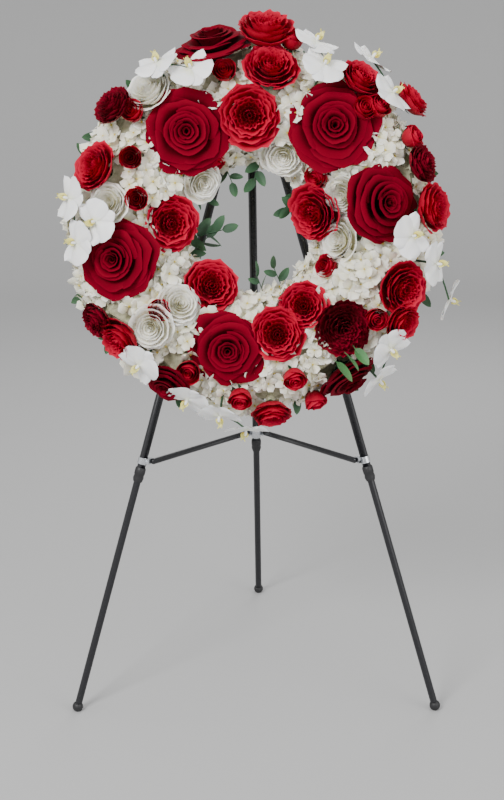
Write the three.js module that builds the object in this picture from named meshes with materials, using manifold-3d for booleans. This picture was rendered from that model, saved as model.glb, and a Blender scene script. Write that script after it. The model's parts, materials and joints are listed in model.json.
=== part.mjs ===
// Funeral wreath of roses, hydrangea and orchids, standing on a folding tripod easel.
// Millimetres, +Z up. The wreath faces -Y, and the floor is at Z = 0.
import * as THREE from 'three';
import { mergeVertices } from 'three/addons/utils/BufferGeometryUtils.js';
import Module from 'manifold-3d';

const wasm = await Module();
wasm.setup();

// ---------------------------------------------------------------- driving dimensions
const GAP = 0.35; // clearance between neighbouring solids
const ROUND = 16; // facets round a tube

// Easel: the three leg axes would meet at APEX_HEIGHT on the centre line
const APEX_HEIGHT = 1300;
const HEAD_HEIGHT = 1194; // hinge pins
const FRONT_SPREAD = 368; // front foot, sideways from the centre line
const FRONT_REACH = 243; // front foot, forward of the apex
const REAR_REACH = 331; // rear foot, behind the apex
const UPPER_RADIUS = 8.5;
const UPPER_BORE = 7.6;
const FRONT_UPPER_LENGTH = 752; // from the hinge pin to the tube's open end
const REAR_UPPER_LENGTH = 805;
const LOWER_RADIUS = 7.25;
const LOWER_BORE = 6.2;
const LOWER_OVERLAP = 120; // length of lower tube held inside the upper one
const PIN_RADIUS = 3;
const LUG_THICKNESS = 3.2;
const BALL_RADIUS = 11.25;
const BALL_CENTRE = 9.5; // above the floor, so that the ball has a flat sole
const SOCKET_DEPTH = 3; // tube end above the ball's centre
const COLLAR_LENGTH = 30;
const COLLAR_GRIP = 18; // length of collar on the upper tube
const COLLAR_RADIUS = 11;
const BAND_PLACE = 720; // from the hinge pin, along a front leg
const BAND_HEIGHT = 13;
const BAND_RADIUS = 9.9;
const SLIDER_PLACE = 769; // from the hinge pin, along the rear leg
const SLIDER_HEIGHT = 20;
const SLIDER_RADIUS = 11;
const BAR_HEIGHT = 12;
const BAR_THICKNESS = 5;
const BAR_BEVEL = 1.4;
const EAR_THICKNESS = 2;
const EAR_CLEARANCE = 1; // between a band's ear and its bar, which shifts a little during the fold
const RIVET_RADIUS = 2;
const RIVET_HEAD = 4;
const RIVET_CROWN = 1.6;
const FRONT_OFFSET = 21; // bar beside a front leg, clear of it through the whole fold
const REAR_OFFSET = 14.3; // bar beside the rear leg
const PIVOT_INSET = 8; // pivots, from the leg towards the bar
const EYE_HALF_WIDTH = 8.6; // hinge eye across the top of an upper tube
const CAP_LOW = 10.5; // underside of the head's cap, above the hinge pins
const CAP_THICKNESS = 7;
const CAP_CORNER = 15;
const LUG_REACH = UPPER_RADIUS - 0.3;
const HOOK_RADIUS = 4;
const HOOK_TIP = 22; // turned-up end of the hook, inside the ring
const BORE_REACH = 40; // cutting rods run past what they cut

// Wreath: a D-shaped foam ring that hangs in front of the leg plane
const RING_DROP = 230; // ring centre below the hinge pins, along the leg plane
const RING_RADIUS = 240;
const RING_HALF_WIDTH = 52;
const RING_HALF_DEPTH = 35;
const RING_FROM_LEGS = 17; // back of the ring in front of the leg plane
const RING_SEGMENTS = 28;
const FOAM_SIDE = 8; // where the foam's flat sides end
const FOAM_SHOULDER = 18; // where its front begins to flatten
const FOAM_SKIN = 1; // clearance between the foam and the flowers that lie on it
const STEM_RADIUS = 2.5;
const STEM_SIDES = 5;
const POCKET = 0.8; // clearance round a flower head in the flowers beside it
const BED_GAP = 0.6; // half the gap between two hydrangea beds

// ---------------------------------------------------------------- flowers
// Each flower: clock angle from the top, clockwise from the front; distance from the ring's
// centre; height in front of the ring's middle plane; tilt of its face away from the centre; diameter.
const VELVET_ROSES = {
  velvet_rose_1: [-33, 217, 92, -4, 152],
  velvet_rose_2: [40, 246, 94, 4, 156],
  velvet_rose_3: [-102, 262, 97, 16, 144],
  velvet_rose_4: [80, 257, 98, 30, 144],
  velvet_rose_5: [-169, 233, 94, 6, 134],
  velvet_rose_6: [-11, 358, 56, 66, 140],
  velvet_rose_7: [147, 345, 42, 70, 120],
};
const GARDEN_ROSES = {
  garden_rose_1: [5, 376, 66, 56, 106],
  garden_rose_2: [8, 303, 92, 34, 100],
  garden_rose_3: [0, 210, 98, -6, 116],
  garden_rose_4: [-86, 153, 66, -14, 106],
  garden_rose_5: [-145, 132, 60, -16, 102],
  garden_rose_6: [77, 122, 58, -34, 106],
  garden_rose_7: [146, 178, 80, -10, 94],
  garden_rose_8: [166, 206, 96, -4, 104],
  garden_rose_9: [112, 311, 91, 34, 102],
  garden_rose_10: [-68, 316, 94, 42, 90],
  garden_rose_11: [84, 349, 82, 60, 94],
  garden_rose_12: [-130, 327, 94, 52, 92],
};
const WHITE_ROSES = {
  white_rose_1: [-36, 323, 82, 40, 92],
  white_rose_2: [25, 152, 56, -24, 90],
  white_rose_3: [-46, 126, 48, -30, 76],
  white_rose_4: [-136, 196, 88, -20, 82],
};
const PEONY = { crimson_peony: [137, 258, 100, 12, 104] };

// Orchid sprays: one stem each, with its blooms
const ORCHID_DIAMETER = 92;
const ORCHID_SPRAYS = {
  orchid_spray_left: [[-80, 346, 102, 50], [-94, 328, 114, 38], [-87, 290, 128, 20]],
  orchid_spray_top: [[20, 368, 84, 60], [25, 330, 118, 36]],
  orchid_spray_upper_left: [[-20, 314, 120, 34], [-29, 352, 102, 52]],
  orchid_spray_upper_right: [[36, 396, 30, 72], [47, 366, 90, 56]],
  orchid_spray_right: [[93, 302, 126, 26], [101, 357, 90, 52], [110, 408, 30, 84]],
  orchid_spray_lower_right: [[131, 350, 92, 46], [140, 382, 52, 68]],
  orchid_spray_bottom: [[-159, 346, 94, 52], [-170, 362, 84, 58], [-178, 388, 52, 74]],
  orchid_spray_lower_left: [[-140, 332, 112, 40]],
};

// Smaller blooms that grow out of the hydrangea beds: clock, distance, height, diameter
const BED_BLOOMS = [
  [174, 350, 46, 80], [52, 384, 24, 78], [122, 332, 76, 78], [-151, 332, 72, 92],
  [-48, 341, 72, 80], [70, 340, 62, 76], [-120, 336, 68, 72], [-79, 268, 88, 78],
  [98, 176, 58, 84], [71, 190, 64, 80], [-134, 262, 90, 84], [37, 341, 74, 84],
];

// Flower heads: rings of [radius, height, petal ruffle, turn], as shares of the head's radius,
// from the calyx round the rim and over the tiers of petals to the crown
const VELVET_HEAD = {
  petals: 5,
  segments: 15,
  rings: [
    [0.2, -0.5, 0, 0], [1.0, -0.12, 0.08, 0], [0.93, 0.02, 0.08, 0],
    [0.66, 0.04, 0.06, 0.6], [0.6, 0.24, 0.05, 0.6], [0.3, 0.38, 0, 0],
  ],
  foot: -0.56,
  crown: 0.33,
};
const GARDEN_HEAD = {
  petals: 6,
  segments: 12,
  rings: [
    [0.5, -0.5, 0, 0], [1.0, -0.08, 0.05, 0], [0.88, 0.14, 0.05, 0],
    [0.62, 0.34, 0.03, 1], [0.36, 0.42, 0, 0],
  ],
  foot: -0.62,
  crown: 0.3,
};
const PEONY_HEAD = {
  petals: 8,
  segments: 16,
  rings: [
    [0.6, -0.46, 0.03, 0], [1.0, -0.02, 0.05, 0], [0.84, 0.3, 0.05, 0.3],
    [0.52, 0.5, 0.04, 0.2],
  ],
  foot: -0.66,
  crown: 0.54,
};
const ORCHID_HEAD = {
  petals: 5,
  segments: 15,
  rings: [[0.74, -0.04, 0.3, 0], [0.7, 0.06, 0.3, 0], [0.16, 0.02, 0, 0]],
  foot: -0.2,
  crown: 0.36,
};
const HEAD_ENVELOPE = [
  [0.66, -0.5], [1.18, -0.14], [1.14, 0.1], [0.6, 0.5],
];
const ORCHID_ENVELOPE = [[1.12, -0.12], [1.1, 0.12]];
const ENVELOPE_SEGMENTS = 8;

// Hydrangea bed: its section round the foam, as [across the ring, forward]
const BED_SECTION = [
  [-62, -33], [-104, -24], [-110, 16], [-66, 76], [0, 90], [66, 76], [110, 16], [104, -24], [62, -33],
];
const BED_LUMP = 5; // rise and fall of the flower heads along a bed
const BED_STEPS = 6;
const BED_NAMES = ['hydrangea_bed_top', 'hydrangea_bed_right', 'hydrangea_bed_bottom', 'hydrangea_bed_left'];

// ---------------------------------------------------------------- materials
const paint = (color, roughness, metalness) => (
  new THREE.MeshStandardMaterial({ color, roughness, metalness })
);
const MATERIALS = {
  blackTube: paint(0x0b0b0d, 0.35, 0.4),
  blackPlastic: paint(0x111113, 0.5, 0),
  steel: paint(0xc4c8cc, 0.25, 1),
  foam: paint(0x2f5a35, 0.9, 0),
  velvet: paint(0x6e0715, 0.85, 0),
  crimson: paint(0xa50d22, 0.75, 0),
  maroon: paint(0x4c0a14, 0.8, 0),
  white: paint(0xf3f0e2, 0.8, 0),
  ivory: paint(0xf0edd6, 0.85, 0),
  orchid: paint(0xf7f6f4, 0.7, 0),
};

// ---------------------------------------------------------------- solids
const UP = new THREE.Vector3(0, 0, 1);
const DOWN = new THREE.Vector3(0, 0, -1);
const vec = (x, y, z) => new THREE.Vector3(x, y, z);

function toSolid(geometry) {
  const bare = geometry.clone();
  bare.deleteAttribute('normal');
  bare.deleteAttribute('uv');
  const merged = mergeVertices(bare, 1e-3);
  const vertProperties = new Float32Array(merged.attributes.position.array);
  const triVerts = new Uint32Array(merged.index.array);
  return new wasm.Manifold(new wasm.Mesh({ numProp: 3, vertProperties, triVerts }));
}

function toGeometry(solid) {
  const mesh = solid.getMesh();
  const geometry = new THREE.BufferGeometry();
  geometry.setAttribute('position', new THREE.BufferAttribute(mesh.vertProperties, 3));
  geometry.setIndex(new THREE.BufferAttribute(mesh.triVerts, 1));
  geometry.computeVertexNormals();
  return geometry;
}

const joinAll = (solids) => solids.reduce((whole, piece) => whole.add(piece));
const cutAll = (solid, cutters) => cutters.reduce((rest, cutter) => rest.subtract(cutter), solid);
const largest = (solid) => solid.decompose().sort((a, b) => b.volume() - a.volume())[0];

// A solid of revolution about Z; points are [radius, height]
function turned(points, segments = ROUND) {
  const profile = points.map(([radius, height]) => new THREE.Vector2(radius, height));
  return new THREE.LatheGeometry(profile, segments).rotateX(Math.PI / 2);
}

// A tube or ring between two heights on Z
function pipe(outer, inner, low, high, segments = ROUND) {
  return turned([[inner, low], [outer, low], [outer, high], [inner, high], [inner, low]], segments);
}

// A round rod from one point to another
function rod(from, to, radius, sides = ROUND) {
  const along = to.clone().sub(from);
  const turn = new THREE.Quaternion().setFromUnitVectors(vec(0, 1, 0), along.clone().normalize());
  const middle = from.clone().addScaledVector(along, 0.5);
  const geometry = new THREE.CylinderGeometry(radius, radius, along.length(), sides);
  return geometry.applyQuaternion(turn).translate(middle.x, middle.y, middle.z);
}

// A flat plate with square edges, cut to an outline
function slab(outline, depth) {
  return new THREE.ExtrudeGeometry(outline, { depth, curveSegments: 5, bevelEnabled: false });
}

function mesh(name, geometry, material) {
  const node = new THREE.Mesh(geometry, material);
  node.name = name;
  return node;
}

// ---------------------------------------------------------------- easel mechanism
// A leg hangs from its hinge pin. Folding turns it about a level axis until it is upright.
function legLine(foot, upperLength) {
  const apex = vec(0, 0, APEX_HEIGHT);
  const share = (APEX_HEIGHT - HEAD_HEIGHT) / (APEX_HEIGHT - foot.z);
  const pivot = apex.clone().lerp(foot, share);
  const along = foot.clone().sub(pivot).normalize();
  const axis = along.clone().cross(DOWN).normalize();
  const angle = along.angleTo(DOWN);
  return { pivot, foot, along, axis, angle, upperLength, length: foot.distanceTo(pivot) };
}

const footAt = (x, y) => vec(x, y, BALL_CENTRE);
const LEGS = {
  left: legLine(footAt(-FRONT_SPREAD, -FRONT_REACH), FRONT_UPPER_LENGTH),
  right: legLine(footAt(FRONT_SPREAD, -FRONT_REACH), FRONT_UPPER_LENGTH),
  rear: legLine(footAt(0, REAR_REACH), REAR_UPPER_LENGTH),
};
const pointOn = (leg, distance) => leg.pivot.clone().addScaledVector(leg.along, distance);
const swing = (point, leg) => point.clone().sub(leg.pivot).applyAxisAngle(leg.axis, leg.angle).add(leg.pivot);

// A spreader bar hinges on the slider and reaches to the band of a front leg. When the legs
// are upright the slider has climbed so far that the bar stands beside them.
function spreaderLine(leg) {
  const band = pointOn(leg, BAND_PLACE);
  const slider = pointOn(LEGS.rear, SLIDER_PLACE);
  const level = slider.clone().sub(band).setZ(0).normalize();
  const inward = level.clone().cross(UP).multiplyScalar(band.x < 0 ? 1 : -1);
  const front = band.clone().addScaledVector(inward, FRONT_OFFSET).addScaledVector(level, PIVOT_INSET);
  const rear = slider.clone().addScaledVector(inward, -REAR_OFFSET).addScaledVector(level, -PIVOT_INSET);
  const length = front.distanceTo(rear);
  const frontFolded = swing(front, leg);
  const rearSwung = swing(rear, LEGS.rear);
  const sideways = Math.hypot(frontFolded.x - rearSwung.x, frontFolded.y - rearSwung.y);
  const climb = frontFolded.z + Math.sqrt(length ** 2 - sideways ** 2) - rearSwung.z;
  const rearFolded = rearSwung.clone().setZ(rearSwung.z + climb);
  const along = front.clone().sub(rear).normalize();
  const folded = frontFolded.clone().sub(rearFolded).normalize();
  folded.applyAxisAngle(LEGS.rear.axis, -LEGS.rear.angle);
  const axis = along.clone().cross(folded).normalize();
  return { front, rear, along, axis, angle: along.angleTo(folded), length, climb };
}
const SPREADERS = { left: spreaderLine(LEGS.left), right: spreaderLine(LEGS.right) };

// Frame at a leg's hinge pin: X along the pin, -Z down the leg
function legGroup(leg) {
  const z = leg.along.clone().negate();
  const basis = new THREE.Matrix4().makeBasis(leg.axis, z.clone().cross(leg.axis), z);
  const group = new THREE.Group();
  group.quaternion.setFromRotationMatrix(basis);
  group.position.copy(leg.pivot);
  return group;
}

// ---------------------------------------------------------------- easel pieces
function upperTube(name, leg) {
  const tube = toSolid(pipe(UPPER_RADIUS, UPPER_BORE, -leg.upperLength, -6));
  const eye = toSolid(rod(vec(-EYE_HALF_WIDTH, 0, 0), vec(EYE_HALF_WIDTH, 0, 0), UPPER_RADIUS));
  const plug = toSolid(turned([[0, -24], [UPPER_RADIUS - 0.2, -24], [UPPER_RADIUS - 0.2, -5], [0, -5]]));
  const hole = toSolid(rod(vec(-20, 0, 0), vec(20, 0, 0), PIN_RADIUS + GAP));
  return mesh(name, toGeometry(joinAll([tube, eye, plug]).subtract(hole)), MATERIALS.blackTube);
}

function lowerTube(name, leg) {
  const end = -(leg.length - SOCKET_DEPTH);
  const tube = pipe(LOWER_RADIUS, LOWER_BORE, end, LOWER_OVERLAP - leg.upperLength);
  return mesh(name, tube, MATERIALS.blackTube);
}

// Twist lock: its upper bore grips the upper tube and its lower bore the lower tube
function twistCollar(name, leg) {
  const top = COLLAR_GRIP - leg.upperLength;
  const bottom = top - COLLAR_LENGTH;
  const step = -leg.upperLength - GAP;
  const wide = UPPER_RADIUS + GAP;
  const narrow = LOWER_RADIUS + GAP;
  const profile = [
    [wide, top], [wide, step], [narrow, step], [narrow, bottom], [narrow + 1.4, bottom],
    [COLLAR_RADIUS, bottom + 8], [COLLAR_RADIUS - 1.2, bottom + 14.5], [COLLAR_RADIUS, bottom + 16],
    [COLLAR_RADIUS, top - 3], [COLLAR_RADIUS - 1.4, top],
  ];
  return mesh(name, turned([...profile, profile[0]]), MATERIALS.blackPlastic);
}

// Ball foot, with a flat sole and a socket for the tube
function ballFoot(name, leg) {
  const low = -Math.acos(BALL_CENTRE / BALL_RADIUS);
  const steps = 6;
  const arc = [];
  for (let i = 0; i <= steps; i += 1) {
    const angle = low + (Math.PI + low) * (-i / steps);
    arc.push([BALL_RADIUS * Math.sin(-angle), -BALL_RADIUS * Math.cos(-angle)]);
  }
  arc[steps] = [0, BALL_RADIUS];
  const ball = toSolid(turned([[0, -BALL_CENTRE], ...arc])).translate(leg.foot.toArray());
  const bottom = leg.foot.clone().addScaledVector(leg.along, -(SOCKET_DEPTH - 2 * GAP));
  const socket = toSolid(rod(bottom, leg.foot.clone().addScaledVector(leg.along, -40), LOWER_RADIUS + GAP));
  return mesh(name, toGeometry(ball.subtract(socket)), MATERIALS.blackPlastic);
}

// A plate in a spreader's plane: stations on the spreader's own axes from one of its pivots
function plate(spreader, pivot, alongRange, acrossRange, heightRange) {
  const across = spreader.axis;
  const height = spreader.along.clone().cross(across);
  const size = [alongRange, acrossRange, heightRange].map(([low, high]) => high - low);
  const middle = [alongRange, acrossRange, heightRange].map(([low, high]) => (low + high) / 2);
  const geometry = new THREE.BoxGeometry(...size).translate(...middle);
  const basis = new THREE.Matrix4().makeBasis(spreader.along, across, height);
  return geometry.applyMatrix4(basis.setPosition(pivot));
}

// Side of the bar on which its leg lies, along the spreader's axis
const legSide = (spreader, centre, pivot) => Math.sign(centre.clone().sub(pivot).dot(spreader.axis));

const HALF_BAR = BAR_THICKNESS / 2;

// Room for an upper tube through what is clamped round it
function boreAlong(leg, place) {
  const ends = [place - BORE_REACH, place + BORE_REACH].map((distance) => pointOn(leg, distance));
  return toSolid(rod(...ends, UPPER_RADIUS + GAP));
}

function legBand(name, leg, spreader) {
  const centre = pointOn(leg, BAND_PLACE);
  const half = BAND_HEIGHT / 2;
  const group = legGroup(leg);
  group.updateMatrixWorld();
  const bare = pipe(BAND_RADIUS, UPPER_RADIUS + GAP, -BAND_PLACE - half, -BAND_PLACE + half);
  const ring = toSolid(bare.applyMatrix4(group.matrix));
  const side = legSide(spreader, centre, spreader.front);
  const near = side * (HALF_BAR + EAR_CLEARANCE);
  const far = side * (FRONT_OFFSET - BAND_RADIUS + 1.5);
  const range = [Math.min(near, far), Math.max(near, far)];
  const ear = toSolid(plate(spreader, spreader.front, [-5, PIVOT_INSET + 4], range, [-half + 1, half - 1]));
  const bore = boreAlong(leg, BAND_PLACE);
  return mesh(name, toGeometry(ring.add(ear).subtract(bore)), MATERIALS.steel);
}

const acrossBar = (spreader, distance) => spreader.rear.clone().addScaledVector(spreader.axis, distance);

function sliderClamp() {
  const centre = pointOn(LEGS.rear, SLIDER_PLACE);
  const ends = [-SLIDER_HEIGHT / 2, SLIDER_HEIGHT / 2].map((d) => pointOn(LEGS.rear, SLIDER_PLACE + d));
  const sleeve = toSolid(rod(ends[0], ends[1], SLIDER_RADIUS));
  const ears = Object.values(SPREADERS).map((spreader) => {
    const side = legSide(spreader, centre, spreader.rear);
    const near = side * (HALF_BAR + GAP);
    const far = near + side * EAR_THICKNESS;
    const range = [Math.min(near, far), Math.max(near, far)];
    return toSolid(plate(spreader, spreader.rear, [-PIVOT_INSET - 6, 6], range, [-6, 6]));
  });
  const bore = boreAlong(LEGS.rear, SLIDER_PLACE);
  const holes = Object.values(SPREADERS).map((spreader) => (
    toSolid(rod(acrossBar(spreader, -16), acrossBar(spreader, 16), RIVET_RADIUS + GAP, 12))
  ));
  const clamp = cutAll(joinAll([sleeve, ...ears]), [bore, ...holes]);
  return mesh('spreader_slider', toGeometry(clamp), MATERIALS.steel);
}

function sliderRivet(name, spreader) {
  const side = legSide(spreader, pointOn(LEGS.rear, SLIDER_PLACE), spreader.rear);
  const inner = side * (HALF_BAR + GAP + EAR_THICKNESS);
  const outer = -side * (HALF_BAR + GAP);
  const crown = outer - side * RIVET_CROWN;
  const pin = toSolid(rod(acrossBar(spreader, inner), acrossBar(spreader, crown), RIVET_RADIUS, 12));
  const head = toSolid(rod(acrossBar(spreader, outer), acrossBar(spreader, crown), RIVET_HEAD, 12));
  return mesh(name, toGeometry(pin.add(head)), MATERIALS.steel);
}

// Flat-sided bar with round ends, drawn in its own plane and hinged at its rear end
function spreaderBar(name, spreader) {
  const half = BAR_HEIGHT / 2;
  const outline = new THREE.Shape();
  outline.absarc(0, 0, half, Math.PI / 2, -Math.PI / 2, false);
  outline.absarc(spreader.length, 0, half, -Math.PI / 2, Math.PI / 2, false);
  const hole = new THREE.Path().absarc(0, 0, RIVET_RADIUS + GAP, 0, 2 * Math.PI, true);
  outline.holes.push(hole);
  const depth = BAR_THICKNESS - 2 * BAR_BEVEL;
  const bevel = { bevelSize: BAR_BEVEL, bevelThickness: BAR_BEVEL, bevelOffset: -BAR_BEVEL };
  const form = { depth, curveSegments: 6, bevelSegments: 1, ...bevel };
  const geometry = new THREE.ExtrudeGeometry(outline, form);
  geometry.translate(0, 0, -depth / 2);
  const height = spreader.axis.clone().cross(spreader.along);
  const basis = new THREE.Matrix4().makeBasis(spreader.along, height, spreader.axis);
  return mesh(name, geometry.applyMatrix4(basis.setPosition(spreader.rear)), MATERIALS.blackTube);
}

// Head: a cap over the three hinge eyes, a pair of lugs for each leg, and the hook for the ring
function hingeLugs(leg) {
  return [-1, 1].map((side) => {
    const shape = new THREE.Shape();
    shape.absarc(0, 0, LUG_REACH, Math.PI, 2 * Math.PI, false);
    shape.lineTo(LUG_REACH, CAP_LOW + 1);
    shape.lineTo(-LUG_REACH, CAP_LOW + 1);
    const lug = slab(shape, LUG_THICKNESS);
    lug.translate(0, 0, side > 0 ? EYE_HALF_WIDTH + GAP : -EYE_HALF_WIDTH - GAP - LUG_THICKNESS);
    const basis = new THREE.Matrix4().makeBasis(UP.clone().cross(leg.axis), UP, leg.axis);
    return toSolid(lug.applyMatrix4(basis.setPosition(leg.pivot)));
  });
}

function pinHole(leg, reach, radius, sides) {
  const from = leg.pivot.clone().addScaledVector(leg.axis, -reach);
  const to = leg.pivot.clone().addScaledVector(leg.axis, reach);
  return rod(from, to, radius, sides);
}

function hookRods(ringFrame, grow) {
  const place = (across, out) => vec(0, -out, across).applyMatrix4(ringFrame);
  const inner = RING_RADIUS - RING_HALF_WIDTH;
  const legPlane = -RING_HALF_DEPTH - RING_FROM_LEGS;
  const level = inner - HOOK_RADIUS - 1;
  const corners = [
    place(RING_DROP + CAP_LOW, legPlane), place(level, legPlane),
    place(level, -6), place(level + HOOK_TIP, -6),
  ];
  const rods = [];
  for (let i = 1; i < corners.length; i += 1) {
    rods.push(toSolid(rod(corners[i - 1], corners[i], HOOK_RADIUS + grow, 8)));
  }
  corners.slice(1, -1).forEach((corner) => {
    const elbow = new THREE.SphereGeometry(HOOK_RADIUS + grow, 8, 6).translate(corner.x, corner.y, corner.z);
    rods.push(toSolid(elbow));
  });
  return joinAll(rods);
}

function easelHead(ringFrame) {
  const level = HEAD_HEIGHT + CAP_LOW;
  const outline = new THREE.Shape();
  const front = LEGS.left.pivot;
  outline.absarc(front.x, front.y + 7, CAP_CORNER, Math.PI, 1.5 * Math.PI, false);
  outline.absarc(-front.x, front.y + 7, CAP_CORNER, 1.5 * Math.PI, 2 * Math.PI, false);
  outline.absarc(0, LEGS.rear.pivot.y - 4, CAP_CORNER + 2, 0.2 * Math.PI, 0.8 * Math.PI, false);
  const cap = slab(outline, CAP_THICKNESS);
  const lugs = Object.values(LEGS).flatMap((leg) => hingeLugs(leg));
  const holes = Object.values(LEGS).map((leg) => toSolid(pinHole(leg, 30, PIN_RADIUS + GAP, 12)));
  const solids = [toSolid(cap.translate(0, 0, level)), ...lugs, hookRods(ringFrame, 0)];
  return mesh('easel_head', toGeometry(cutAll(joinAll(solids), holes)), MATERIALS.blackTube);
}

function hingePin(name, leg) {
  const half = EYE_HALF_WIDTH + GAP + LUG_THICKNESS;
  return mesh(name, pinHole(leg, half, PIN_RADIUS, 12), MATERIALS.steel);
}

// ---------------------------------------------------------------- wreath
// In the ring's own frame the ring stands upright and faces -Y
const turnOf = (clock) => THREE.MathUtils.degToRad(clock);
const onRing = (clock, distance, height) => (
  vec(distance * Math.sin(turnOf(clock)), -height, distance * Math.cos(turnOf(clock)))
);

function facing(clock, tilt) {
  const outward = onRing(clock, 1, 0);
  return outward.multiplyScalar(Math.sin(turnOf(tilt))).add(vec(0, -Math.cos(turnOf(tilt)), 0));
}

// Frame on a flower's centre, with Z out of its face
function flowerFrame([clock, distance, height, tilt]) {
  const z = facing(clock, tilt);
  const x = vec(Math.cos(turnOf(clock)), 0, -Math.sin(turnOf(clock)));
  const basis = new THREE.Matrix4().makeBasis(x, z.clone().cross(x), z);
  return basis.setPosition(onRing(clock, distance, height));
}

// A closed body of rings round Z, with a point at its foot and at its crown
function ringedBody(rings, foot, crown, segments) {
  const points = [0, 0, foot];
  rings.forEach((radiusAt) => {
    for (let i = 0; i < segments; i += 1) {
      const angle = (2 * Math.PI * i) / segments;
      const { radius, height } = radiusAt(angle);
      points.push(radius * Math.cos(angle), radius * Math.sin(angle), height);
    }
  });
  points.push(0, 0, crown);
  const last = 1 + rings.length * segments;
  const faces = [];
  const at = (ring, i) => 1 + ring * segments + (i % segments);
  for (let i = 0; i < segments; i += 1) {
    faces.push(0, at(0, i + 1), at(0, i));
    for (let ring = 1; ring < rings.length; ring += 1) {
      faces.push(at(ring - 1, i), at(ring - 1, i + 1), at(ring, i + 1));
      faces.push(at(ring - 1, i), at(ring, i + 1), at(ring, i));
    }
    faces.push(at(rings.length - 1, i), at(rings.length - 1, i + 1), last);
  }
  const geometry = new THREE.BufferGeometry();
  geometry.setAttribute('position', new THREE.Float32BufferAttribute(points, 3));
  geometry.setIndex(faces);
  return geometry;
}

function flowerHead(style, radius) {
  const rings = style.rings.map(([r, h, ruffle, turn]) => (angle) => ({
    radius: radius * r * (1 + (ruffle / r) * Math.cos(style.petals * angle + turn * Math.PI)),
    height: radius * h,
  }));
  return ringedBody(rings, radius * style.foot, radius * style.crown, style.segments);
}

// Room that a flower head takes up, for the flowers and beds beside it
function headEnvelope(envelope, foot, crown, radius) {
  const rings = envelope.map(([r, h]) => () => ({ radius: radius * r + POCKET, height: radius * h }));
  return ringedBody(rings, radius * foot - POCKET, radius * crown + POCKET, ENVELOPE_SEGMENTS);
}

// A stem runs from behind the head into the foam, towards the middle of the ring's section
function stemEnds(place, depth) {
  const [clock] = place;
  const head = vec(0, 0, 0).applyMatrix4(flowerFrame(place)).addScaledVector(facing(clock, place[3]), -depth);
  const core = onRing(clock, RING_RADIUS, 0);
  return [head, core.clone().lerp(head, 0.12)];
}

function rose(place, style) {
  const radius = place[4] / 2;
  const frame = flowerFrame(place);
  const [head, tip] = stemEnds(place, radius * 0.4);
  const bloom = toSolid(flowerHead(style, radius).applyMatrix4(frame));
  const envelope = toSolid(headEnvelope(HEAD_ENVELOPE, -0.72, 0.56, radius).applyMatrix4(frame));
  const stem = stemRoom(head, tip);
  const solid = bloom.add(toSolid(rod(head, tip, STEM_RADIUS, STEM_SIDES)));
  return { solid, room: envelope.add(stem), stem };
}

function stemRoom(from, to) {
  const along = to.clone().sub(from).normalize();
  return toSolid(rod(from, to.clone().addScaledVector(along, 1), STEM_RADIUS + POCKET, STEM_SIDES));
}

function orchidSpray(places) {
  const radius = ORCHID_DIAMETER / 2;
  const solids = [];
  const rooms = [];
  const backs = places.map((place) => stemEnds(place, radius * 0.12)[0]);
  places.forEach((place) => {
    const frame = flowerFrame(place);
    solids.push(toSolid(flowerHead(ORCHID_HEAD, radius).applyMatrix4(frame)));
    rooms.push(toSolid(headEnvelope(ORCHID_ENVELOPE, -0.24, 0.4, radius).applyMatrix4(frame)));
  });
  const root = stemEnds(places[Math.floor(places.length / 2)], radius * 0.12);
  const ends = [root, ...backs.slice(1).map((back, i) => [backs[i], back])];
  ends.forEach(([from, to]) => {
    solids.push(toSolid(rod(from, to, STEM_RADIUS, STEM_SIDES)));
    rooms.push(stemRoom(from, to));
  });
  return { solid: joinAll(solids), room: joinAll(rooms), stem: stemRoom(...root) };
}

// The foam's domed section turned round the ring, or that section grown by a margin
function foamBody(grow) {
  const w = RING_HALF_WIDTH + grow;
  const d = RING_HALF_DEPTH + grow;
  const section = [
    [-w, -d], [w, -d], [w, -FOAM_SIDE], [w - FOAM_SHOULDER, d - FOAM_SIDE], [0, d],
    [FOAM_SHOULDER - w, d - FOAM_SIDE], [-w, -FOAM_SIDE], [-w, -d],
  ];
  const points = section.map(([across, out]) => new THREE.Vector2(RING_RADIUS + across, -out));
  return toSolid(new THREE.LatheGeometry(points.reverse(), RING_SEGMENTS));
}

function foamRing(cutters) {
  return mesh('foam_ring', toGeometry(largest(cutAll(foamBody(0), cutters))), MATERIALS.foam);
}

// One quarter of the hydrangea, round the foam from one clock angle to the next
function hydrangeaBed(from, to) {
  const rows = [];
  const margin = THREE.MathUtils.radToDeg(BED_GAP / RING_RADIUS);
  for (let i = 0; i <= BED_STEPS; i += 1) {
    const clock = from + margin + ((to - from - 2 * margin) * i) / BED_STEPS;
    rows.push(BED_SECTION.map(([across, out], k) => {
      const swell = 1 + (BED_LUMP / 100) * Math.cos(i * 2.1) * Math.sin(k * 1.7 + i);
      return onRing(clock, RING_RADIUS + across * swell, out > 0 ? out * swell : out);
    }));
  }
  return toSolid(loft(rows));
}

// A closed body through rows of points, capped at both ends
function loft(rows) {
  const width = rows[0].length;
  const points = rows.flat().flatMap((p) => [p.x, p.y, p.z]);
  const faces = [];
  for (let i = 1; i < rows.length; i += 1) {
    for (let k = 0; k < width; k += 1) {
      const [a, b] = [(i - 1) * width + k, (i - 1) * width + ((k + 1) % width)];
      const [c, d] = [a + width, b + width];
      faces.push(a, c, b, b, c, d);
    }
  }
  const last = (rows.length - 1) * width;
  const cap = THREE.ShapeUtils.triangulateShape(BED_SECTION.map(([x, y]) => new THREE.Vector2(x, y)), []);
  cap.forEach(([a, b, c]) => {
    faces.push(c, b, a);
    faces.push(last + a, last + b, last + c);
  });
  const geometry = new THREE.BufferGeometry();
  geometry.setAttribute('position', new THREE.Float32BufferAttribute(points, 3));
  geometry.setIndex(faces);
  return geometry;
}

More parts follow.
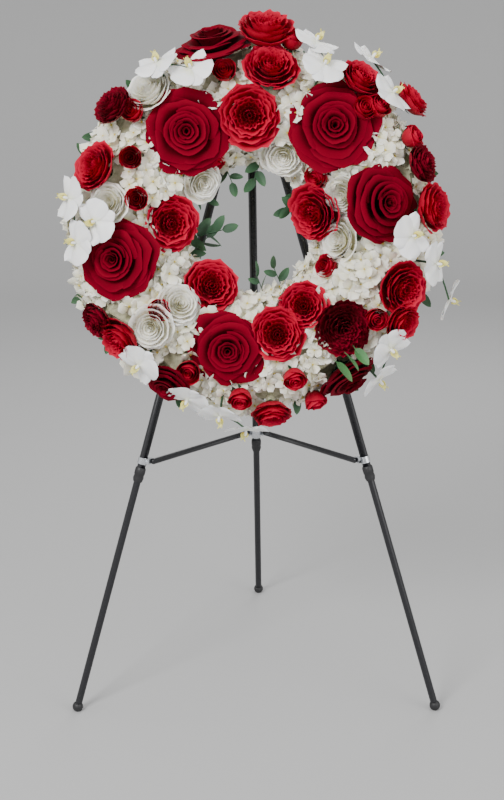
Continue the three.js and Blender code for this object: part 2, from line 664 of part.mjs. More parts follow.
function bedLump([clock, distance, height, diameter], grow) {
  const centre = onRing(clock, distance, height);
  return toSolid(new THREE.SphereGeometry(diameter / 2 + grow, 8, 5).translate(centre.x, centre.y, centre.z));
}
const isBetween = (clock, from, to) => (clock - from + 720) % 360 < to - from;

// ---------------------------------------------------------------- assembly
function buildEasel(ringFrame) {
  const easel = new THREE.Group();
  easel.add(easelHead(ringFrame), sliderClamp());
  Object.entries(LEGS).forEach(([side, leg]) => {
    const group = legGroup(leg);
    group.add(upperTube(`${side}_upper_tube`, leg), lowerTube(`${side}_lower_tube`, leg));
    group.add(twistCollar(`${side}_twist_collar`, leg));
    easel.add(group, hingePin(`${side}_hinge_pin`, leg), ballFoot(`${side}_foot`, leg));
  });
  Object.entries(SPREADERS).forEach(([side, spreader]) => {
    easel.add(legBand(`${side}_leg_band`, LEGS[side], spreader));
    easel.add(spreaderBar(`${side}_spreader`, spreader), sliderRivet(`${side}_slider_rivet`, spreader));
  });
  return easel;
}

function buildWreath(hookRoom) {
  const wreath = new THREE.Group();
  const families = [
    [VELVET_ROSES, VELVET_HEAD, MATERIALS.velvet],
    [GARDEN_ROSES, GARDEN_HEAD, MATERIALS.crimson],
    [PEONY, PEONY_HEAD, MATERIALS.maroon],
    [WHITE_ROSES, GARDEN_HEAD, MATERIALS.white],
  ];
  const rooms = [];
  const stems = [];
  families.forEach(([places, style, material]) => {
    Object.entries(places).forEach(([name, place]) => {
      const flower = rose(place, style);
      wreath.add(mesh(name, toGeometry(largest(cutAll(flower.solid, rooms))), material));
      rooms.push(flower.room);
      stems.push(flower.stem);
    });
  });
  const sprays = [];
  Object.entries(ORCHID_SPRAYS).forEach(([name, places]) => {
    const spray = orchidSpray(places);
    const solid = largest(cutAll(spray.solid, [...rooms, ...sprays]));
    wreath.add(mesh(name, toGeometry(solid), MATERIALS.orchid));
    sprays.push(spray.room);
    stems.push(spray.stem);
  });
  BED_NAMES.forEach((name, i) => {
    const from = i * 90 - 45;
    const inside = ([clock]) => isBetween(clock, from, from + 90);
    const own = BED_BLOOMS.filter(inside).map((bloom) => bedLump(bloom, 0));
    const others = BED_BLOOMS.filter((bloom) => !inside(bloom)).map((bloom) => bedLump(bloom, POCKET));
    const bed = joinAll([hydrangeaBed(from, from + 90), ...own]);
    const cut = cutAll(bed, [foamBody(FOAM_SKIN), hookRoom, ...others, ...rooms, ...sprays]);
    wreath.add(mesh(name, toGeometry(largest(cut)), MATERIALS.ivory));
  });
  wreath.add(foamRing([hookRoom, ...stems]));
  return wreath;
}

const lean = Math.atan2(FRONT_REACH, APEX_HEIGHT - BALL_CENTRE);
const ringCentre = LEGS.left.pivot.clone().setX(0);
ringCentre.add(vec(0, -Math.sin(lean), -Math.cos(lean)).multiplyScalar(RING_DROP));
ringCentre.add(vec(0, -Math.cos(lean), Math.sin(lean)).multiplyScalar(RING_FROM_LEGS + RING_HALF_DEPTH));
const ringFrame = new THREE.Matrix4().makeRotationX(-lean).setPosition(ringCentre);

const wreath = buildWreath(hookRods(new THREE.Matrix4(), GAP));
wreath.applyMatrix4(ringFrame);

const part = new THREE.Group();
part.add(buildEasel(ringFrame), wreath);
const box = new THREE.Box3().setFromObject(part, true);
part.position.set(-(box.min.x + box.max.x) / 2, -(box.min.y + box.max.y) / 2, -box.min.z);

export { LEGS, SPREADERS, part as assembly };
export default part;
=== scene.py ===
"""Funeral wreath of roses, hydrangea and orchids on its folding tripod easel."""

import json
import math

import bmesh
import bpy
import numpy as np
from mathutils import Matrix, Vector

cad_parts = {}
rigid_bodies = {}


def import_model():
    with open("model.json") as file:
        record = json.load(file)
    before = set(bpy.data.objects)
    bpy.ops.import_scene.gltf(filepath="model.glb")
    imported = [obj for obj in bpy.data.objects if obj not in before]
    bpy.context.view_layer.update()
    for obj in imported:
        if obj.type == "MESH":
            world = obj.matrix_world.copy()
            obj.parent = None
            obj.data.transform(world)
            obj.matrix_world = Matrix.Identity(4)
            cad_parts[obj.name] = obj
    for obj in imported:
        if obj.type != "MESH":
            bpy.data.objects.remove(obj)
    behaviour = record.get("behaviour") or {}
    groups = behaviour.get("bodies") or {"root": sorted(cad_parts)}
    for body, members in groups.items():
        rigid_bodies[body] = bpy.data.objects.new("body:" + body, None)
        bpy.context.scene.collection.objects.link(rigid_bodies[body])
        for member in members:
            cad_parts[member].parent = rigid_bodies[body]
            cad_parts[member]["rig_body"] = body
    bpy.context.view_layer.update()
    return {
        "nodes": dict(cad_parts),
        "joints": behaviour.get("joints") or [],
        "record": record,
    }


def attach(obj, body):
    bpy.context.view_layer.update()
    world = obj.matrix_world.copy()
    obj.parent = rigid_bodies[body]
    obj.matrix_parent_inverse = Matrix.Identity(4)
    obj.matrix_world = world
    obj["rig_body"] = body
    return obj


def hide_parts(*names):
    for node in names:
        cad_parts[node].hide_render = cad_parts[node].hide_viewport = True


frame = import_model()

# ---------------------------------------------------------------- driving sizes, in metres
MM = 0.001
FRONT_REACH = 0.243  # front foot, forward of the point where the legs meet
APEX_TO_BALL = 1.2905
RING_DROP = 0.230  # ring centre below the hinge pins, along the plane of the front legs
RING_FORWARD = 0.052  # ring centre in front of that plane
RING_RADIUS = 240  # millimetres, as all places on the ring are
IMAGE_LONG_SIDE = 800

# Flowers: clock angle from the top, distance from the ring's centre, height in front of the
# ring's middle plane, outward tilt of the face, diameter
VELVET_ROSES = {
    "velvet_rose_1": (-33, 217, 92, -4, 152),
    "velvet_rose_2": (40, 246, 94, 4, 156),
    "velvet_rose_3": (-102, 262, 97, 16, 144),
    "velvet_rose_4": (80, 257, 98, 30, 144),
    "velvet_rose_5": (-169, 233, 94, 6, 134),
    "velvet_rose_6": (-11, 358, 56, 66, 140),
    "velvet_rose_7": (147, 345, 42, 70, 120),
}
GARDEN_ROSES = {
    "garden_rose_1": (5, 376, 66, 56, 106),
    "garden_rose_2": (8, 303, 92, 34, 100),
    "garden_rose_3": (0, 210, 98, -6, 116),
    "garden_rose_4": (-86, 153, 66, -14, 106),
    "garden_rose_5": (-145, 132, 60, -16, 102),
    "garden_rose_6": (77, 122, 58, -34, 106),
    "garden_rose_7": (146, 178, 80, -10, 94),
    "garden_rose_8": (166, 206, 96, -4, 104),
    "garden_rose_9": (112, 311, 91, 34, 102),
    "garden_rose_10": (-68, 316, 94, 42, 90),
    "garden_rose_11": (84, 349, 82, 60, 94),
    "garden_rose_12": (-130, 327, 94, 52, 92),
}
WHITE_ROSES = {
    "white_rose_1": (-36, 323, 82, 40, 92),
    "white_rose_2": (25, 152, 56, -24, 90),
    "white_rose_3": (-46, 126, 48, -30, 76),
    "white_rose_4": (-136, 196, 88, -20, 82),
}
PEONIES = {"crimson_peony": (137, 258, 100, 12, 104)}
ORCHID_DIAMETER = 92
ORCHID_SPRAYS = {
    "orchid_spray_left": [(-80, 346, 102, 50), (-94, 328, 114, 38), (-87, 290, 128, 20)],
    "orchid_spray_top": [(20, 368, 84, 60), (25, 330, 118, 36)],
    "orchid_spray_upper_left": [(-20, 314, 120, 34), (-29, 352, 102, 52)],
    "orchid_spray_upper_right": [(36, 396, 30, 72), (47, 366, 90, 56)],
    "orchid_spray_right": [(93, 302, 126, 26), (101, 357, 90, 52), (110, 408, 30, 84)],
    "orchid_spray_lower_right": [(131, 350, 92, 46), (140, 382, 52, 68)],
    "orchid_spray_bottom": [(-159, 346, 94, 52), (-170, 362, 84, 58), (-178, 388, 52, 74)],
    "orchid_spray_lower_left": [(-140, 332, 112, 40)],
}
# Blooms that sit in the hydrangea: style, clock, distance, height, diameter
BED_BLOOMS = [
    ("garden", 174, 350, 46, 80), ("garden", 52, 384, 24, 78), ("garden", 122, 332, 76, 78),
    ("velvet", -151, 332, 72, 92), ("peony", -48, 341, 72, 80), ("peony", 70, 340, 62, 76),
    ("peony", -120, 336, 68, 72), ("white", -79, 268, 88, 78), ("white", 98, 176, 58, 84),
    ("white", 71, 190, 64, 80), ("white", -134, 262, 90, 84), ("garden", 37, 341, 74, 84),
]
BUD_DIAMETER = 46
BUDS = [
    (-9, 298, 96), (-59, 260, 108), (-75, 221, 108), (-29, 142, 46), (47, 334, 88), (44, 310, 98),
    (61, 354, 68), (52, 158, 66), (117, 158, 68), (-131, 231, 102), (-156, 296, 100),
    (-176, 327, 86), (164, 298, 102), (160, 358, 42), (126, 293, 100), (-45, 312, 98),
    (13, 364, 74),
]
# Hydrangea bed: its section round the foam, as (across the ring, forward)
BED_SECTION = [
    (-104, -24), (-110, 16), (-66, 76), (0, 90), (66, 76), (110, 16), (104, -24),
]
BED_CLOCKS = {"top": -45, "right": 45, "bottom": 135, "left": 225}
FLORET_RADIUS = 22
FLORET_SPACING = 17.5
TUCK = 5  # how far a floret beside a larger flower lies below the others


# ---------------------------------------------------------------- the ring's frame
def ring_frame():
    """Matrix from the ring's own frame (upright, facing -Y) to the row frame."""
    pins = {j["name"]: Vector(j["pos_m"]) for j in frame["joints"] if j["name"].endswith("leg_fold")}
    middle = (pins["left_leg_fold"] + pins["right_leg_fold"]) / 2
    lean = math.atan2(FRONT_REACH, APEX_TO_BALL)
    down = Vector((0, -math.sin(lean), -math.cos(lean)))
    forward = Vector((0, -math.cos(lean), math.sin(lean)))
    centre = middle + down * RING_DROP + forward * RING_FORWARD
    return np.array(Matrix.Translation(centre) @ Matrix.Rotation(-lean, 4, "X"))


RING = ring_frame()


def on_ring(clock, distance, height):
    a = math.radians(clock)
    return np.array([distance * math.sin(a), -height, distance * math.cos(a)])


def facing(clock, tilt):
    t = math.radians(tilt)
    return on_ring(clock, 1, 0) * math.sin(t) + np.array([0, -math.cos(t), 0])


def natural_tilt(distance, height):
    """Tilt of a small flower that grows straight out of the bed."""
    return math.degrees(math.atan2(distance - RING_RADIUS, height + 10))


def flower_matrix(clock, distance, height, tilt, scale, roll=0.0):
    """Matrix from a flower's own units, with Z out of its face, to the row frame."""
    a, r = math.radians(clock), math.radians(roll)
    z = facing(clock, tilt)
    x = np.array([math.cos(a), 0, -math.sin(a)])
    y = np.cross(z, x)
    turned = np.stack([x * math.cos(r) + y * math.sin(r), y * math.cos(r) - x * math.sin(r), z], 1)
    local = np.eye(4)
    local[:3, :3] = turned * scale * MM
    local[:3, 3] = on_ring(clock, distance, height) * MM
    return RING @ local


def seeded(name):
    return np.random.default_rng(sum((i + 1) * ord(c) for i, c in enumerate(name)))


# ---------------------------------------------------------------- sheets of points
class Sheets:
    """Curved grids of points gathered into one mesh, with where each point lies on its petal."""

    def __init__(self):
        self.points, self.quads, self.places, self.kinds = [], [], [], []
        self.count = 0

    def add(self, grid, matrix, seed=0.5, kind=0, wrap=False):
        rows, cols = grid.shape[:2]
        flat = grid.reshape(-1, 3) @ matrix[:3, :3].T + matrix[:3, 3]
        index = np.arange(rows * cols).reshape(rows, cols) + self.count
        if wrap:
            index = np.concatenate([index, index[:, :1]], 1)
        quads = np.stack([index[:-1, :-1], index[:-1, 1:], index[1:, 1:], index[1:, :-1]], -1)
        across, along = np.meshgrid(np.linspace(-1, 1, cols), np.linspace(0, 1, rows))
        places = np.stack([across, along, np.full_like(across, seed)], -1)
        self.points.append(flat)
        self.quads.append(quads.reshape(-1, 4))
        self.places.append(places.reshape(-1, 3))
        self.kinds.append(np.full(len(self.quads[-1]), kind, np.int32))
        self.count += rows * cols

    def build(self, name, materials):
        points = np.concatenate(self.points).astype(np.float32)
        quads = np.concatenate(self.quads).astype(np.int32)
        mesh = bpy.data.meshes.new(name)
        mesh.vertices.add(len(points))
        mesh.vertices.foreach_set("co", points.ravel())
        mesh.loops.add(quads.size)
        mesh.loops.foreach_set("vertex_index", quads.ravel())
        mesh.polygons.add(len(quads))
        mesh.polygons.foreach_set("loop_start", np.arange(0, quads.size, 4, dtype=np.int32))
        mesh.polygons.foreach_set("material_index", np.concatenate(self.kinds))
        mesh.polygons.foreach_set("use_smooth", np.ones(len(quads), bool))
        mesh.update(calc_edges=True)
        place = mesh.attributes.new("petal", "FLOAT_VECTOR", "POINT")
        place.data.foreach_set("vector", np.concatenate(self.places).astype(np.float32).ravel())
        for material in materials:
            mesh.materials.append(material)
        piece = bpy.data.objects.new(name, mesh)
        bpy.context.scene.collection.objects.link(piece)
        return piece


def bezier(points, t):
    """Cubic curve through four (radius, height) control points."""
    a, b, c, d = [np.array(p, float) for p in points]
    t = t[..., None]
    u = 1 - t
    return a * u**3 + 3 * b * u**2 * t + 3 * c * u * t**2 + d * t**3


def petal(
    rng, profile, turn, half_angle, rounding=0.25, point=0.05, spiral=0.0, flare=0.0,
    ruffle=0.02, waves=3.0, roll=0.05, rows=9, cols=11, ragged=0.0,
):
    """One petal wrapped round the flower's axis. Its profile runs from the base to the rim."""
    s, t = np.meshgrid(np.linspace(-1, 1, cols), np.linspace(0, 1, rows))
    length = 1 - rounding * np.abs(s) ** 2.6 + point * np.exp(-((s / 0.2) ** 2))
    if ragged:
        length = length + ragged * rng.uniform(-1, 1, cols)[None, :]
    reach = t * length
    curve = bezier(profile, reach)
    radius, height = curve[..., 0], curve[..., 1]
    phase = rng.uniform(0, 2 * math.pi)
    wave = np.sin(waves * math.pi * s + phase) + 0.5 * np.sin(waves * 2.3 * math.pi * s + phase * 1.7)
    rim = reach**3
    radius = radius * (1 + spiral * s) + ruffle * wave * rim + flare * s**4 * t
    height = height + ruffle * 0.7 * np.cos(waves * math.pi * s + phase * 0.6) * rim
    edge = np.clip((t - 0.8) / 0.2, 0, 1) ** 2
    radius = radius + roll * edge
    height = height - roll * 0.7 * edge
    wide = 0.55 + 0.45 * np.sin(np.clip(reach * 1.25, 0, 1) * math.pi / 2)
    angle = turn + s * half_angle * wide
    return np.stack([radius * np.cos(angle), radius * np.sin(angle), height], -1)


def petal_tier(sheets, matrix, rng, count, profile, degrees, turn, **form):
    """A tier of like petals round the flower, each a little different."""
    for i in range(count):
        grow, rise = rng.uniform(0.9, 1.06), rng.uniform(-0.028, 0.022)
        own = [
            (r * grow * rng.uniform(0.97, 1.03), h + rise * k) for k, (r, h) in enumerate(profile)
        ]
        at = turn + 2 * math.pi * i / count + rng.uniform(-0.24, 0.24)
        width = math.radians(degrees) * rng.uniform(0.9, 1.15)
        sheets.add(petal(rng, own, at, width, **form), matrix, rng.uniform())


# Tiers of petals, from the outside in: number, profile, half width in degrees, form
VELVET_TIERS = [
    (5, [(0.10, -0.42), (0.60, -0.46), (0.86, -0.10), (1.02, -0.06)], 56,
     dict(rounding=0.22, point=0.08, ruffle=0.045, waves=1.6, roll=0.08)),
    (4, [(0.10, -0.36), (0.52, -0.36), (0.74, 0.0), (0.9, 0.03)], 66,
     dict(rounding=0.22, point=0.08, ruffle=0.045, waves=1.5, roll=0.09)),
    (4, [(0.10, -0.30), (0.44, -0.26), (0.58, 0.14), (0.72, 0.17)], 68,
     dict(rounding=0.22, point=0.07, ruffle=0.04, waves=1.4, roll=0.09)),
    (3, [(0.08, -0.25), (0.36, -0.18), (0.43, 0.22), (0.52, 0.26)], 84,
     dict(rounding=0.2, point=0.03, ruffle=0.02, waves=1.0, roll=0.06, spiral=0.06)),
    (3, [(0.06, -0.2), (0.28, -0.1), (0.31, 0.25), (0.41, 0.32)], 84,
     dict(rounding=0.18, point=0.04, ruffle=0.012, roll=0.04, spiral=0.08)),
    (3, [(0.05, -0.15), (0.19, -0.05), (0.20, 0.29), (0.28, 0.35)], 88,
     dict(rounding=0.16, point=0.03, ruffle=0.01, roll=0.03, spiral=0.1)),
    (3, [(0.03, -0.1), (0.11, 0.0), (0.12, 0.28), (0.17, 0.35)], 92,
     dict(rounding=0.14, point=0.02, ruffle=0.008, roll=0.02, spiral=0.12)),
    (2, [(0.01, -0.1), (0.05, 0.0), (0.05, 0.26), (0.08, 0.33)], 110,
     dict(rounding=0.1, point=0.02, ruffle=0.005, roll=0.012, spiral=0.16)),
]
GARDEN_TIERS = [
    (5, [(0.12, -0.56), (0.78, -0.56), (0.92, -0.10), (0.99, 0.02)], 50,
     dict(rounding=0.2, point=0.03, ruffle=0.04, roll=0.06, ragged=0.02)),
    (5, [(0.10, -0.5), (0.68, -0.46), (0.82, 0.02), (0.87, 0.2)], 52,
     dict(rounding=0.18, point=0.03, ruffle=0.035, roll=0.05, ragged=0.02)),
    (5, [(0.10, -0.4), (0.58, -0.34), (0.68, 0.08), (0.73, 0.31)], 54,
     dict(rounding=0.16, point=0.02, ruffle=0.035, roll=0.045, ragged=0.02)),
    (5, [(0.08, -0.32), (0.46, -0.24), (0.56, 0.12), (0.60, 0.37)], 56,
     dict(rounding=0.15, point=0.02, ruffle=0.035, roll=0.04, ragged=0.02)),
    (6, [(0.06, -0.26), (0.36, -0.2), (0.44, 0.1), (0.45, 0.32)], 44,
     dict(rounding=0.18, point=0.0, ruffle=0.04, waves=4, roll=0.02, ragged=0.03)),
    (6, [(0.05, -0.2), (0.28, -0.14), (0.32, 0.08), (0.32, 0.27)], 44,
     dict(rounding=0.2, point=0.0, ruffle=0.045, waves=4, roll=0.0, ragged=0.03)),
    (5, [(0.04, -0.15), (0.18, -0.1), (0.21, 0.06), (0.2, 0.24)], 48,
     dict(rounding=0.2, point=0.0, ruffle=0.04, waves=4, roll=-0.01, ragged=0.03)),
    (4, [(0.02, -0.1), (0.08, -0.06), (0.1, 0.06), (0.09, 0.22)], 60,
     dict(rounding=0.2, point=0.0, ruffle=0.03, waves=3, roll=-0.01, ragged=0.03)),
]
WHITE_TIERS = [
    (5, [(0.12, -0.56), (0.78, -0.56), (0.90, -0.10), (0.98, 0.0)], 52,
     dict(rounding=0.2, point=0.05, ruffle=0.025, roll=0.07)),
    (5, [(0.10, -0.5), (0.66, -0.46), (0.78, 0.04), (0.82, 0.2)], 54,
     dict(rounding=0.18, point=0.05, ruffle=0.02, roll=0.05)),
    (5, [(0.10, -0.4), (0.54, -0.34), (0.62, 0.1), (0.66, 0.31)], 58,
     dict(rounding=0.16, point=0.04, ruffle=0.02, roll=0.04)),
    (4, [(0.08, -0.32), (0.42, -0.2), (0.48, 0.16), (0.52, 0.37)], 66,
     dict(rounding=0.15, point=0.03, ruffle=0.015, roll=0.03, spiral=0.05)),
    (4, [(0.06, -0.26), (0.32, -0.1), (0.36, 0.18), (0.38, 0.37)], 70,
     dict(rounding=0.14, point=0.02, ruffle=0.012, roll=0.02, spiral=0.08)),
    (3, [(0.05, -0.2), (0.22, -0.05), (0.25, 0.2), (0.26, 0.36)], 84,
     dict(rounding=0.14, point=0.02, ruffle=0.01, roll=0.015, spiral=0.1)),
    (3, [(0.03, -0.1), (0.12, 0.0), (0.14, 0.22), (0.15, 0.34)], 90,
     dict(rounding=0.12, point=0.01, ruffle=0.01, roll=0.01, spiral=0.14)),
    (2, [(0.01, -0.1), (0.05, 0.0), (0.06, 0.2), (0.06, 0.31)], 110,
     dict(rounding=0.1, point=0.0, ruffle=0.005, roll=0.005, spiral=0.16)),
]
BUD_TIERS = [
    (3, [(0.16, -1.1), (0.86, -1.0), (0.98, -0.2), (0.90, 0.28)], 78,
     dict(rounding=0.2, point=0.06, ruffle=0.03, roll=0.1, spiral=0.04)),
    (3, [(0.12, -1.0), (0.70, -0.8), (0.82, -0.1), (0.70, 0.42)], 80,
     dict(rounding=0.16, point=0.04, ruffle=0.02, roll=0.06, spiral=0.06)),
    (3, [(0.1, -0.8), (0.52, -0.6), (0.60, 0.0), (0.48, 0.46)], 84,
     dict(rounding=0.14, point=0.03, ruffle=0.02, roll=0.04, spiral=0.08)),
    (3, [(0.06, -0.6), (0.34, -0.4), (0.38, 0.1), (0.3, 0.46)], 88,
     dict(rounding=0.12, point=0.02, ruffle=0.01, roll=0.03, spiral=0.1)),
    (2, [(0.02, -0.4), (0.14, -0.2), (0.17, 0.1), (0.12, 0.42)], 100,
     dict(rounding=0.1, point=0.0, ruffle=0.01, roll=0.02, spiral=0.14)),
]


def peony_tiers():
    """A dome of narrow ragged petals in nine tiers."""
    tiers = []
    for i in range(9):
        k = i / 8
        rim = 1.0 - 0.9 * k
        top = -0.02 + 0.5 * math.sin(k * math.pi / 2)
        profile = [
            (0.1 * rim + 0.02, -0.5 + 0.4 * k), (rim * 0.75, -0.5 + 0.55 * k),
            (rim * 0.98, top - 0.2), (rim, top),
        ]
        form = dict(rounding=0.24, point=0.06, ruffle=0.035, waves=4, roll=0.02, ragged=0.07)
        tiers.append((max(4, round(11 - 7 * k)), profile, 26 + 30 * k, form))
    return tiers


TIERS = {
    "velvet": VELVET_TIERS, "garden": GARDEN_TIERS, "white": WHITE_TIERS, "peony": peony_tiers(),
    "bud": BUD_TIERS,
}


def flower_petals(sheets, style, matrix, rng, **finer):
    turn = rng.uniform(0, 2 * math.pi)
    for count, profile, degrees, form in TIERS[style]:
        petal_tier(sheets, matrix, rng, count, profile, degrees, turn, **{**form, **finer})
        turn += math.pi / count + 0.35


# ---------------------------------------------------------------- leaves, calyxes and stems
def leaf_grid(length, width, bend=0.25, fold=0.12, rows=7, cols=5, tip=1.0):
    """A leaf along +X, with its face up, in the units of its length."""
    s, t = np.meshgrid(np.linspace(-1, 1, cols), np.linspace(0, 1, rows))
    outline = np.sin(math.pi * np.clip(t, 0.001, 0.999) ** 0.8) ** (0.7 * tip)
    x = length * t
    y = width / 2 * s * outline
    z = bend * length * t * (1 - t) * 2 - fold * width * (1 - np.abs(s)) * outline
    return np.stack([x, y, z], -1)


def tube_grid(start, end, radius, sides=7, rows=4, sag=0.0):
    """An open tube between two points."""
    start, end = np.array(start, float), np.array(end, float)
    along = (end - start) / np.linalg.norm(end - start)
    side = np.cross(along, [0.3, 0.9, 0.2])
    side /= np.linalg.norm(side)
    other = np.cross(along, side)
    grid = []
    for t in np.linspace(0, 1, rows):
        centre = start + (end - start) * t + other * sag * math.sin(math.pi * t)
        for i in range(sides):
            a = 2 * math.pi * i / sides
            grid.append(centre + radius * (side * math.cos(a) + other * math.sin(a)))
    return np.array(grid).reshape(rows, sides, 3)


def calyx(greens, matrix, rng, base, reach):
    """Five sepals and the swollen base under a rose."""
    for i in range(5):
        a = 2 * math.pi * i / 5 + rng.uniform(-0.1, 0.1)
        sepal = leaf_grid(reach, 0.26, bend=-0.2, fold=0.1, rows=6, cols=3)
        turn = np.eye(4)
        turn[:3, :3] = [
            [math.cos(a), -math.sin(a), 0], [math.sin(a), math.cos(a), 0], [0, 0, 1],
        ]
        turn[2, 3] = base
        greens.add(sepal, matrix @ turn, rng.uniform())
    cup = []
    for r, h in ((0.05, -0.22), (0.13, -0.16), (0.17, -0.06), (0.14, 0.03)):
        cup.append([[r * math.cos(a), r * math.sin(a), base + h] for a in np.linspace(0, 2 * math.pi, 10)])
    greens.add(np.array(cup), matrix, rng.uniform())


def stem(greens, matrix, clock, depth):
    """A wired stem from behind a head into the foam."""
    head = (matrix @ np.array([0, 0, -depth, 1]))[:3]
    core = (RING @ np.append(on_ring(clock, RING_RADIUS, 0) * MM, 1))[:3]
    greens.add(tube_grid(head, core, 2.4 * MM, sag=0.004), np.eye(4), 0.4, wrap=True)


# ---------------------------------------------------------------- orchids
def blade(length, width, widest=0.55, cup=0.12, rows=9, cols=9, notch=0.0, twist=0.0):
    """A round-ended petal along +X from the flower's centre."""
    s, t = np.meshgrid(np.linspace(-1, 1, cols), np.linspace(0, 1, rows))
    power = math.log(0.5) / math.log(widest)
    outline = np.sin(math.pi * np.clip(t, 0.0, 1.0) ** power) ** 0.55
    outline = np.maximum(outline, 0.06 * (1 - t))
    x = length * (t - 0.10 * s**2 * t * (1 - t)) - notch * np.exp(-((s / 0.25) ** 2)) * t**8
    y = width / 2 * s * outline
    z = cup * length * (t**2 - 0.35 * t) - 0.10 * width * s**2 * outline + twist * s * t
    z = z + 0.012 * np.sin(5 * s + 7 * t)
    return np.stack([x, y, z], -1)


def turned_about_z(degrees, lift=0.0, out=0.0):
    """Turn about the flower's axis, after a lift of the blade's tip."""
    a, b = math.radians(degrees), math.radians(lift)
    spin = np.array([[math.cos(a), -math.sin(a), 0], [math.sin(a), math.cos(a), 0], [0, 0, 1]])
    tip = np.array([[math.cos(b), 0, -math.sin(b)], [0, 1, 0], [math.sin(b), 0, math.cos(b)]])
    local = np.eye(4)
    local[:3, :3] = spin @ tip
    local[2, 3] = out
    return local


def orchid(sheets, matrix, rng):
    """Moth orchid. Kind 0 is white petal, 1 the pale yellow lip and 2 its orange throat."""
    wobble = lambda: rng.uniform(-5, 5)
    for degrees in (180, 62, -62):
        sepal = blade(0.98, 0.62, cup=rng.uniform(0.04, 0.14), twist=rng.uniform(-0.04, 0.04))
        sheets.add(sepal, matrix @ turned_about_z(degrees + wobble(), wobble(), -0.02), rng.uniform())
    for degrees in (118, -118):
        wing = blade(0.98, 1.08, widest=0.6, cup=rng.uniform(0.04, 0.16), rows=11, cols=11)
        sheets.add(wing, matrix @ turned_about_z(degrees + wobble(), wobble(), 0.03), rng.uniform())
    for side in (-1, 1):
        lobe = blade(0.26, 0.2, cup=0.4, rows=6, cols=5)
        sheets.add(lobe, matrix @ turned_about_z(side * 62, 58, 0.08), rng.uniform(), kind=1)
    front = blade(0.42, 0.3, widest=0.4, cup=0.35, rows=8, cols=7, notch=0.06)
    sheets.add(front, matrix @ turned_about_z(wobble(), 36, 0.08), rng.uniform(), kind=1)
    for side in (-1, 1):
        horn = blade(0.16, 0.05, cup=0.9, rows=5, cols=3)
        place = matrix @ turned_about_z(0, 36, 0.08)
        shift = np.eye(4)
        shift[:3, 3] = [0.36, side * 0.05, 0.04]
        turn = turned_about_z(side * 40, 40)
        sheets.add(horn, place @ shift @ turn, rng.uniform(), kind=1)
    column = []
    for r, h, x in ((0.05, 0.0, 0), (0.07, 0.12, -0.01), (0.065, 0.22, 0.01), (0.02, 0.27, 0.03)):
        column.append([[x + r * math.cos(a), r * math.sin(a), h] for a in np.linspace(0, 2 * math.pi, 9)])
    sheets.add(np.array(column), matrix, rng.uniform())
    throat = []
    for r, h in ((0.075, 0.10), (0.06, 0.16), (0.01, 0.18)):
        throat.append([[0.1 + r * math.cos(a), r * math.sin(a), h] for a in np.linspace(0, 2 * math.pi, 9)])
    sheets.add(np.array(throat), matrix, rng.uniform(), kind=2)


# ---------------------------------------------------------------- hydrangea
def section_point(share):
    """Place and outward direction at a share of the way round the bed's section."""
    points = np.array(BED_SECTION, float)
    steps = np.linalg.norm(np.diff(points, axis=0), axis=1)
    at = share * steps.sum()
    i = min(int(np.searchsorted(np.cumsum(steps), at)), len(steps) - 1)
    t = (at - (np.cumsum(steps)[i] - steps[i])) / steps[i]
    place = points[i] + (points[i + 1] - points[i]) * t
    out = np.array([place[0] * 0.8, place[1] + 28])
    return place, out / np.linalg.norm(out)


def heads_in_the_way():
    """Centre, facing and radius of every flower that a floret has to keep clear of."""
    found = []
    for table in (VELVET_ROSES, GARDEN_ROSES, WHITE_ROSES, PEONIES):
        for c, d, h, tilt, size in table.values():
            found.append((on_ring(c, d, h), facing(c, tilt), size / 2))
    for _, c, d, h, size in BED_BLOOMS:
        found.append((on_ring(c, d, h + 14), facing(c, natural_tilt(d, h)), size / 2))
    for c, d, h in BUDS:
        found.append((on_ring(c, d, h), facing(c, natural_tilt(d, h)), BUD_DIAMETER / 2))
    return found


def is_covered(point, heads, grow=0.94, margin=0.0):
    for centre, out, radius in heads:
        away = point - centre
        along = away @ out
        sideways = np.linalg.norm(away - out * along)
        if sideways < radius * grow + margin and -radius * 1.1 < along < radius * 1.2:
            return True
    return False


def floret_places(rng, start, heads):
    """Spots for florets over a quarter of the bed, spaced like a packed head of hydrangea."""
    spots = []
    for _ in range(9000):
        share, clock = rng.uniform(0, 1), rng.uniform(start, start + 90)
        (across, forward), (out_a, out_f) = section_point(share)
        swell = 1 + 0.05 * math.sin(clock * 0.21) * math.sin(share * 9)
        point = on_ring(clock, RING_RADIUS + across * swell, forward * swell)
        if spots and min(np.linalg.norm(p - point) for p, _ in spots) < FLORET_SPACING:
            continue
        if is_covered(point, heads):
            continue
        out = on_ring(clock, 1, 0) * out_a + np.array([0, -out_f, 0])
        spots.append((point, out / np.linalg.norm(out)))
    return spots


def floret(sheets, centre, out, rng):
    """Four broad petals round a small yellow eye. Kind 1 is the eye."""
    lean = out + rng.normal(0, 0.28, 3)
    z = lean / np.linalg.norm(lean)
    x = np.cross(z, rng.normal(0, 1, 3))
    x /= np.linalg.norm(x)
    local = np.eye(4)
    size = FLORET_RADIUS * rng.uniform(0.8, 1.12)
    local[:3, :3] = np.stack([x, np.cross(z, x), z], 1) * size * MM
    local[:3, 3] = (centre + out * rng.uniform(-3, 5)) * MM
    matrix = RING @ local
    shade = rng.uniform()
    for i in range(4):
        leaf = blade(
            1.0, 0.98, widest=0.62, cup=rng.uniform(0.1, 0.5), rows=5, cols=5, notch=0.05,
            twist=rng.uniform(-0.12, 0.12),
        )
        turn = turned_about_z(90 * i + rng.uniform(-9, 9), rng.uniform(-6, 22), 0.01 * (i % 2))
        sheets.add(leaf, matrix @ turn, min(1, max(0, shade + rng.uniform(-0.15, 0.15))))
    eye = []
    for r, h in ((0.1, 0.02), (0.08, 0.1), (0.01, 0.13)):
        eye.append([[r * math.cos(a), r * math.sin(a), h] for a in np.linspace(0, 2 * math.pi, 6)])
    sheets.add(np.array(eye), matrix, shade, kind=1)


